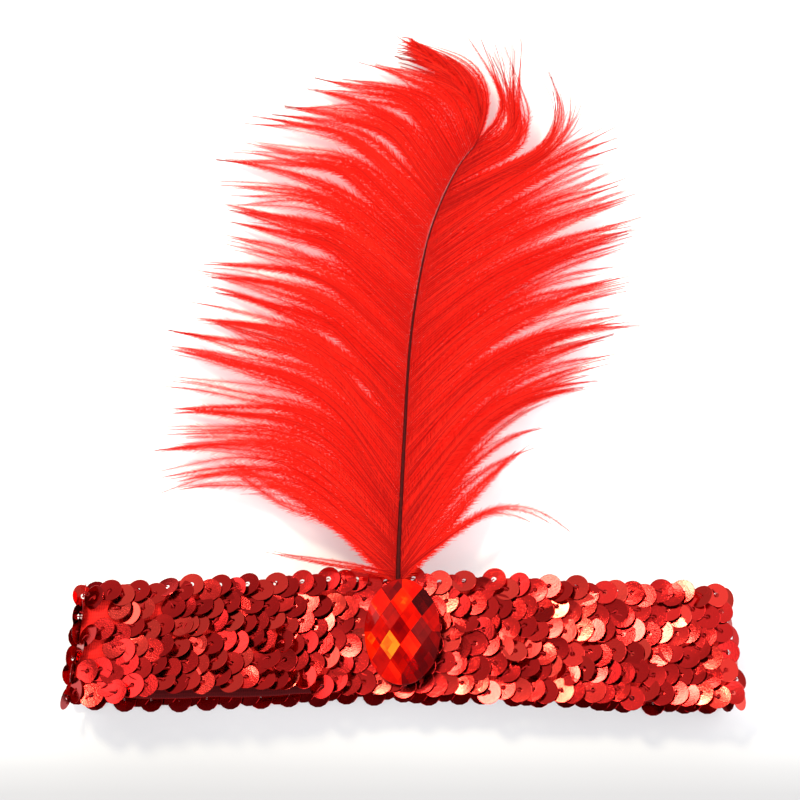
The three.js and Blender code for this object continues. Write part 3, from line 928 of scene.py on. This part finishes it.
def make_gem():
    """An oval block cut by planes that touch a dome at a lattice of points, with softened facet edges."""
    half_width = GEM_WIDTH / 2
    half_length = GEM_LENGTH / 2
    shape = bmesh.new()
    top = GEM_GIRDLE + GEM_DOME + GEM_HEADROOM
    rim = []
    for k in range(GEM_SIDES):
        turned = 2 * math.pi * k / GEM_SIDES
        rim.append(shape.verts.new((half_width * math.cos(turned), half_length * math.sin(turned), 0)))
    base = shape.faces.new(rim)
    grown = bmesh.ops.extrude_face_region(shape, geom=[base])
    for vert in (v for v in grown["geom"] if isinstance(v, bmesh.types.BMVert)):
        vert.co.z = top
    bmesh.ops.recalc_face_normals(shape, faces=shape.faces)
    reach = math.ceil(1 / GEM_FACET)
    for i in range(-reach, reach + 1):
        for j in range(-reach, reach + 1):
            across = i * GEM_FACET
            along = j * GEM_FACET
            if (i + j) % 2 or math.hypot(across, along) > 1:
                continue
            touch = Vector((
                across * half_width,
                along * half_length,
                GEM_GIRDLE + GEM_DOME * (1 - across * across - along * along),
            ))
            up = Vector((2 * GEM_DOME * across / half_width, 2 * GEM_DOME * along / half_length, 1))
            whole = shape.verts[:] + shape.edges[:] + shape.faces[:]
            cut = bmesh.ops.bisect_plane(
                shape, geom=whole, dist=GEM_CUT_NEAR, plane_co=touch, plane_no=up, clear_outer=True)
            edges = [e for e in cut["geom_cut"] if isinstance(e, bmesh.types.BMEdge)]
            if edges:
                bmesh.ops.contextual_create(shape, geom=edges)
    bmesh.ops.remove_doubles(shape, verts=shape.verts, dist=GEM_MERGE_NEAR)
    limit = math.radians(GEM_SHARP_ANGLE)
    sharp = [e for e in shape.edges if len(e.link_faces) == 2 and e.calc_face_angle(0) > limit]
    bmesh.ops.bevel(shape, geom=sharp, offset=GEM_BEVEL, segments=1, affect="EDGES", clamp_overlap=True)
    bmesh.ops.recalc_face_normals(shape, faces=shape.faces)
    # Each facet takes the painted reflection or shade of the nearest listed place; steep rim faces take
    # painted shade
    tones = []
    for face in shape.faces:
        face.material_index = 1 if face.normal.z < GEM_BACK_FACING else 0
        middle = face.calc_center_median()
        nearest = min(GEM_PAINTED_LIGHT, key=lambda row: math.hypot(row["x"] - middle.x, row["y"] - middle.y))
        tones.append(nearest["tone"] if face.normal.z > GEM_RIM_FACING else GEM_RIM_SHADE)
    near = math.radians(GEM_TILT_NEAR)
    left = -math.radians(GEM_TILT_LEFT)
    about_x = np.array([
        [1, 0, 0], [0, math.cos(near), -math.sin(near)], [0, math.sin(near), math.cos(near)],
    ])
    about_y = np.array([
        [math.cos(left), 0, math.sin(left)], [0, 1, 0], [-math.sin(left), 0, math.cos(left)],
    ])
    turn = about_x @ about_y
    for vert in shape.verts:
        placed = turn @ np.array(vert.co) + np.array([0, 0, GEM_BACK_HEIGHT]) + SHIFT
        vert.co = Vector(placed * MM)
    mesh = bpy.data.meshes.new("gem_stone")
    shape.to_mesh(mesh)
    shape.free()
    mesh.attributes.new("tone", "FLOAT", "FACE").data.foreach_set("value", tones)
    gem = link_object("gem_stone", mesh, [gem_material(), foil_material()])
    return settle(gem, "gem", "gem")


# Plume

def smooth_route(points, per_span):
    """A smooth curve through points, each pulled along by its two neighbours."""
    points = np.asarray(points, float)
    padded = np.vstack([2 * points[0] - points[1], points, 2 * points[-1] - points[-2]])
    share = np.linspace(0, 1, per_span, endpoint=False)[:, None]
    pieces = []
    for before, start, end, after in zip(padded, padded[1:], padded[2:], padded[3:]):
        out = (end - before) / 2
        into = (after - start) / 2
        bend = 3 * (end - start) - 2 * out - into
        twist = 2 * (start - end) + out + into
        pieces.append(start + share * (out + share * (bend + share * twist)))
    return np.vstack(pieces + [points[-1:]])


SHAFT_LINE = smooth_route(SHAFT_ROUTE, SHAFT_STEPS)
SHAFT_ALONG = np.concatenate([[0], np.cumsum(np.linalg.norm(np.diff(SHAFT_LINE, axis=0), axis=1))])
SHAFT_LENGTH = SHAFT_ALONG[-1]
SHAFT_HEADING = np.unwrap(np.arctan2(np.gradient(SHAFT_LINE[:, 1]), np.gradient(SHAFT_LINE[:, 0])))


def shaft_at(at):
    """Point, heading and radius of the shaft at distances along it."""
    point = np.stack([np.interp(at, SHAFT_ALONG, SHAFT_LINE[:, axis]) for axis in range(3)], axis=-1)
    heading = np.interp(at, SHAFT_ALONG, SHAFT_HEADING)
    radius = column(SHAFT_RADIUS, at, "radius")
    return point, heading, radius


def tubes(lines, radii, sides):
    """Points and faces of thin tubes along lines, all with as many steps and sides."""
    count, steps, _ = lines.shape
    way = unit(np.gradient(lines, axis=1))
    up = np.broadcast_to(np.array([0.0, 0.0, 1.0]), way.shape)
    aside = unit(np.cross(way, up))
    over = np.cross(aside, way)
    points = lines[:, :, None, :] + radii[..., None, None] * rings(aside, over, sides)
    tube = grid_faces(steps, sides, False, True)
    return points.reshape(-1, 3), copied_faces(tube, count, steps * sides)


def make_quill():
    """The dark shaft as a tapered tube, closed at both ends by a fan round a middle point."""
    point, _, radius = shaft_at(np.linspace(0, SHAFT_LENGTH, QUILL_STEPS))
    points, faces = tubes(point[None], radius[None], QUILL_SIDES)
    foot = np.full(QUILL_SIDES, len(points))
    ring = np.arange(QUILL_SIDES)
    after = (ring + 1) % QUILL_SIDES
    last_ring = len(points) - QUILL_SIDES
    caps = np.vstack([
        np.stack([foot, after, ring], axis=-1),
        np.stack([foot + 1, last_ring + ring, last_ring + after], axis=-1),
    ])
    points = np.vstack([points, point[0], point[-1]])
    triangles = np.vstack([faces[:, [0, 1, 2]], caps, faces[:, [0, 2, 3]]])
    quill = make_object("feather_quill", points, triangles, [quill_material()])
    return settle(quill, "quill", "feather_shaft")


def barb_lines(side, at, barbs):
    """Middle lines of barbs at these distances along the shaft, each rooted past the shaft's middle."""
    count = len(at)
    share = BARB_SHARE[None, :]
    point, heading, radius = shaft_at(at)
    lean = np.radians(barbs["lean"])[:, None]
    turn = np.radians(barbs["turn"])[:, None]
    beat = 2 * math.pi * (barbs["beat"][:, None] * share + barbs["phase"][:, None])
    wave = np.radians(barbs["wave"])[:, None] * np.sin(beat) * share
    bent = ease(share, barbs["start"][:, None], barbs["end"][:, None])
    way = heading[:, None] + side * (lean + turn * bent + wave)
    step = (barbs["reach"] / BARB_STEPS)[:, None]
    start = np.zeros((count, 1))
    gone_x = np.concatenate([start, np.cumsum(np.cos(way[:, :-1]) * step, axis=1)], axis=1)
    gone_y = np.concatenate([start, np.cumsum(np.sin(way[:, :-1]) * step, axis=1)], axis=1)
    past = side * ROOT_PAST_MIDDLE * radius
    x = (point[:, 0] + past * np.sin(heading))[:, None] + gone_x
    y = (point[:, 1] - past * np.cos(heading))[:, None] + gone_y
    root_z = point[:, 2:]
    z = root_z + (barbs["tip"][:, None] - root_z) * share ** LOCK_DROOP
    z = z + (LOCK_ARCH + barbs["arch"][:, None]) * np.sin(math.pi * share)
    return np.stack([x, y, np.maximum(z, BARB_FLOOR_GAP)], axis=-1)


def clump_numbers(at, partings, largest, rng):
    """Barbs hang together in clumps of a few neighbours, never across a parting: the clump of each barb."""
    count = len(at)
    sizes = rng.integers(1, largest + 1, count)
    clump = np.repeat(np.arange(count), sizes)[:count]
    for parting in partings:
        clump = clump + (at > parting)
    return np.unique(clump, return_inverse=True)[1]


def bunch_values(clumps, spread, rng):
    """A random change shared by a few neighbouring clumps, so that slits open between the bunches."""
    sizes = rng.integers(*BUNCH_SIZE, clumps)
    return np.repeat(rng.normal(0, spread, clumps), sizes)[:clumps]


def open_slits(lines, at, slits):
    """Barbs on the two sides of a slit pushed apart round its middle, less so further off."""
    heading = shaft_at(at)[1]
    up_shaft = np.stack([np.cos(heading), np.sin(heading), 0 * heading], axis=-1)
    for slit in slits:
        away = at - slit["at"]
        push = slit["width"] / 2 * np.sign(away) * np.exp(-np.abs(away) / SLIT_FADE)
        opened = np.exp(-(((BARB_SHARE - slit["share"]) / slit["length"]) ** 2))
        lines = lines + push[:, None, None] * opened[None, :, None] * up_shaft[:, None, :]
    return lines


def vane_barbs(rows, fringe, partings, slits, strays, largest, side, rng):
    """Lines of the barbs of one side, drawn together in clumps towards their tips, and their numbers."""
    count = BARBS_PER_SIDE
    order = np.linspace(0, 1, count)
    at = np.interp(order, [row["share"] for row in BARB_PLACES], [row["at"] for row in BARB_PLACES])
    clump = clump_numbers(at, partings, largest, rng)
    clumps = clump.max() + 1
    clump_at = np.array([at[clump == k].mean() for k in range(clumps)])
    scatter = column(fringe, clump_at, "scatter")
    leader = {
        "reach": column(rows, clump_at, "reach") * rng.uniform(*CLUMP_REACH, clumps),
        "lean": column(rows, clump_at, "lean") + bunch_values(clumps, BUNCH_LEAN, rng)
        + rng.normal(0, CLUMP_LEAN, clumps),
        "turn": column(rows, clump_at, "turn") + scatter * (
            bunch_values(clumps, BUNCH_TURN, rng) + rng.normal(0, CLUMP_TURN, clumps)),
        "start": column(rows, clump_at, "start"),
        "end": column(rows, clump_at, "end"),
        "arch": rng.normal(0, CLUMP_ARCH, clumps),
        "tip": rng.uniform(*CLUMP_TIP, clumps) + CURL_LIFT * ease(clump_at, *CURL_SPAN),
        "wave": rng.normal(0, CLUMP_WAVE, clumps),
        "beat": rng.uniform(*CLUMP_BEAT, clumps),
        "phase": rng.random(clumps),
        "tone": rng.uniform(*CLUMP_TONE, clumps),
        **{name: column(fringe, clump_at, name) for name in HAIR_COLUMNS},
    }
    change = {name: values[clump] for name, values in leader.items()}
    shift = {
        name: column(rows, at, name) - column(rows, clump_at, name)[clump] for name in ("lean", "turn")
    }
    length = np.minimum(rng.normal(BARB_REACH, BARB_REACH_SPREAD, count), BARB_REACH_MOST)
    barbs = {
        **change,
        "reach": change["reach"] * length,
        "lean": change["lean"] + shift["lean"] + rng.normal(0, BARB_LEAN, count),
        "turn": change["turn"] + shift["turn"] + rng.normal(0, BARB_TURN, count),
        "arch": change["arch"] + rng.normal(0, BARB_ARCH, count),
        "tip": change["tip"] + rng.uniform(*BARB_TIP, count),
        "wave": change["wave"] + rng.normal(0, BARB_WAVE, count),
        "tone": np.clip(change["tone"] + rng.normal(0, BARB_TONE, count), 0, 1),
    }
    lines = barb_lines(side, at, barbs)
    leaders = barb_lines(side, clump_at, leader)
    pull = rng.uniform(*CLUMP_PULL, clumps)[clump] * (rng.random(count) > LOOSE_SHARE)
    drawn = pull[:, None] * ease(BARB_SHARE, *CLUMP_DRAWN)[None, :]
    lines = open_slits(lines + drawn[..., None] * (leaders[clump] - lines), at, slits)
    loose = {name: np.array([stray[name] for stray in strays]) for name in strays[0]}
    for name, value in STRAY_HABITS.items():
        loose[name] = np.full(len(strays), value)
    stray_lines = barb_lines(side, loose["at"], loose)
    needed = ("reach", "tone", *HAIR_COLUMNS)
    numbers = {name: np.concatenate([barbs[name], loose[name]]) for name in needed}
    return np.concatenate([lines, stray_lines]), numbers


def barbule_blades(lines, numbers, rng):
    """Fine side hairs of the barbs: slim blades, as points, faces, share along the barb and tone."""
    roots, ways, shares, tones, sizes, ends = [], [], [], [], [], []
    for k, line in enumerate(lines):
        reach = numbers["reach"][k]
        fringe = numbers["fringe"][k]
        number = max(int(2 * fringe * reach / BARBULE_SPACING), BARBULES_FEWEST)
        first = numbers["bare"][k] / reach
        share = first + (fringe - first) * (np.arange(number) + rng.random(number)) / number
        slope = np.gradient(line, axis=0)
        roots.append(np.stack([np.interp(share, BARB_SHARE, axis) for axis in line.T], axis=-1))
        ways.append(unit(np.stack([np.interp(share, BARB_SHARE, axis) for axis in slope.T], axis=-1)))
        shares.append(share)
        tones.append(np.full(number, numbers["tone"][k]))
        to_end = share / fringe
        thinned = 1 - numbers["thin"][k] * ease(to_end, *THIN_SPAN)
        sizes.append(numbers["hair"][k] * thinned * (1 - SHORT_LOSS * ease(to_end, *SHORT_SPAN)))
        ends.append(to_end)
    root = np.vstack(roots)
    way = np.vstack(ways)
    share = np.concatenate(shares)
    to_end = np.concatenate(ends)
    count = len(root)
    tone = np.clip(np.concatenate(tones) + rng.normal(0, BARBULE_TONE, count), 0, 1)
    hand = np.where(np.arange(count) % 2 == 0, 1.0, -1.0)[:, None]
    aside = unit(np.cross(np.array([0.0, 0.0, 1.0]), way)) * hand
    over = np.cross(way, aside) * hand
    splay = BARBULE_SPLAY - BARBULE_SPLAY_LOSS * share + rng.normal(0, BARBULE_SPLAY_SPREAD, count)
    splay = np.radians(splay)[:, None]
    rise = np.radians(rng.normal(BARBULE_RISE, BARBULE_RISE_SPREAD, count))[:, None]
    way_out = way * np.cos(splay) + (aside * np.cos(rise) + over * np.sin(rise)) * np.sin(splay)
    grown = 1 - ROOT_LOSS + ROOT_LOSS * ease(share, *ROOT_SPAN)
    size = BARBULE_LENGTH * np.concatenate(sizes) * grown
    size = (size * rng.normal(1.0, BARBULE_LENGTH_SPREAD, count))[:, None]
    flat = unit(np.cross(way_out, over))
    twist = np.radians(rng.uniform(-BARBULE_TWIST, BARBULE_TWIST, count))[:, None]
    breadth = (BARBULE_WIDTH / 2) * (1 - SLIM_LOSS * ease(to_end, *SLIM_SPAN))[:, None]
    width = (flat * np.cos(twist) + over * np.sin(twist)) * breadth
    tip = root + way_out * size
    tip_width = BARBULE_TIP_WIDTH * width
    points = np.stack([root - width, root + width, tip + tip_width, tip - tip_width], axis=1)
    points[..., 2] = np.maximum(points[..., 2], HAIR_FLOOR_GAP)
    faces = np.arange(4 * count).reshape(-1, 4)
    return points.reshape(-1, 3), faces, np.repeat(share, 4), np.repeat(tone, 4)


def make_vane(name, rows, fringe, partings, slits, strays, largest, side, node, seed):
    """Barbs of one side as one piece and their side hairs as a near and a far piece."""
    rng = np.random.default_rng(seed)
    lines, numbers = vane_barbs(rows, fringe, partings, slits, strays, largest, side, rng)
    radii = BARB_TIP_RADIUS + (BARB_ROOT_RADIUS - BARB_TIP_RADIUS) * (1 - BARB_SHARE) ** BARB_TAPER
    points, faces = tubes(lines, np.broadcast_to(radii, lines.shape[:2]), BARB_SIDES)
    values = {
        "share": np.tile(np.repeat(BARB_SHARE, BARB_SIDES), len(lines)),
        "tone": np.repeat(numbers["tone"], len(BARB_SHARE) * BARB_SIDES),
    }
    barbs = make_object(f"barbs_{name}", points, faces, [BARB_MATERIAL], values=values)
    settle(barbs, "plume", node)
    half = len(lines) // 2
    for part, chosen in (("near", slice(0, half)), ("far", slice(half, None))):
        own = {label: values[chosen] for label, values in numbers.items()}
        points, faces, share, tone = barbule_blades(lines[chosen], own, rng)
        piece = make_object(
            f"barbules_{name}_{part}", points, faces, [BARBULE_MATERIAL],
            values={"share": share, "tone": tone},
        )
        settle(piece, "plume")


# Surroundings

def make_floor():
    bpy.ops.mesh.primitive_plane_add(size=FLOOR_SIZE)
    floor = bpy.context.object
    floor.name = "floor"
    floor.data.materials.append(floor_material())


def make_light(name, place, aim, size, power, colour):
    lamp = bpy.data.lights.new(name, "AREA")
    lamp.shape = "DISK"
    lamp.size = size
    lamp.energy = power
    lamp.color = colour
    light = bpy.data.objects.new(name, lamp)
    light.location = place
    light.rotation_euler = (Vector(aim) - Vector(place)).to_track_quat("-Z", "Y").to_euler()
    bpy.context.scene.collection.objects.link(light)


def make_world():
    """A pale tent of light, brightest overhead, with a dark place on the near side where the camera is."""
    world = bpy.data.worlds.new("room")
    bpy.context.scene.world = world
    world.use_nodes = True
    tree = world.node_tree
    coords = tree.nodes.new("ShaderNodeTexCoord")
    rise = math.radians(VIEW_ELEVATION)
    levels = []
    for way, stops in (
        ((0.0, -math.cos(rise), math.sin(rise)), NEAR_STOPS),
        (OVERHEAD_WAY, OVERHEAD_STOPS),
    ):
        facing = tree.nodes.new("ShaderNodeVectorMath")
        facing.operation = "DOT_PRODUCT"
        facing.inputs[1].default_value = way
        ramp = tree.nodes.new("ShaderNodeValToRGB")
        fill_ramp(ramp.color_ramp, [(position, (level, level, level)) for position, level in stops])
        tree.links.new(coords.outputs["Generated"], facing.inputs[0])
        tree.links.new(facing.outputs["Value"], ramp.inputs["Fac"])
        levels.append(ramp.outputs["Color"])
    both = tree.nodes.new("ShaderNodeMix")
    both.data_type = "RGBA"
    both.blend_type = "MULTIPLY"
    both.inputs["Factor"].default_value = 1.0
    tree.links.new(levels[0], both.inputs[6])
    tree.links.new(levels[1], both.inputs[7])
    tree.links.new(both.outputs[2], tree.nodes["Background"].inputs["Color"])
    tree.nodes["Background"].inputs["Strength"].default_value = WORLD_STRENGTH


def make_camera():
    rise = math.radians(VIEW_ELEVATION)
    aim = Vector((np.array(VIEW_CENTRE) + SHIFT) * MM)
    away = Vector((0, -math.cos(rise), math.sin(rise)))
    camera = bpy.data.objects.new("camera", bpy.data.cameras.new("camera"))
    camera.data.sensor_width = SENSOR_WIDTH
    camera.data.lens = SENSOR_WIDTH * VIEW_DISTANCE / VIEW_WIDTH
    camera.data.clip_start = CLIP_START
    camera.location = aim + away * VIEW_DISTANCE * MM
    camera.rotation_euler = (-away).to_track_quat("-Z", "Y").to_euler()
    bpy.context.scene.collection.objects.link(camera)
    bpy.context.scene.camera = camera


SHIFT = drawing_shift()
make_camera()
make_world()
make_floor()
for light in LIGHTS:
    make_light(**light)
bpy.context.scene.view_settings.view_transform = "Standard"

elastic = make_elastic()
places = sequin_places(np.random.default_rng(11))
film = sequin_material()
make_sequins("sequins_upper", chosen_places(places, ~places["lower"]), UPPER_SIDES, SEQUIN_HOLE, film)
make_sequins("sequins_lower", chosen_places(places, places["lower"]), LOWER_SIDES, LOWER_HOLE, film)
make_stitches(places)
make_gem()
make_quill()
BARB_MATERIAL = plume_material("plume_barbs", 0.5, [
    (0.0, (0.60, 0.010, 0.008)),
    (0.3, (0.70, 0.012, 0.010)),
    (0.7, (0.66, 0.011, 0.010)),
    (1.0, (0.56, 0.008, 0.009)),
])
BARBULE_MATERIAL = plume_material("plume_barbules", 0.62, [
    (0.0, (1.0, 0.034, 0.018)),
    (0.25, (1.0, 0.040, 0.020)),
    (0.75, (1.0, 0.050, 0.028)),
    (1.0, (1.0, 0.050, 0.034)),
])
make_vane(
    "left", LEFT_BARBS, LEFT_FRINGE, LEFT_PARTINGS, LEFT_SLITS, LEFT_STRAYS, LEFT_CLUMP, LEFT,
    "feather_vane_left", 21,
)
make_vane(
    "right", RIGHT_BARBS, RIGHT_FRINGE, RIGHT_PARTINGS, RIGHT_SLITS, RIGHT_STRAYS, RIGHT_CLUMP, RIGHT,
    "feather_vane_right", 22,
)
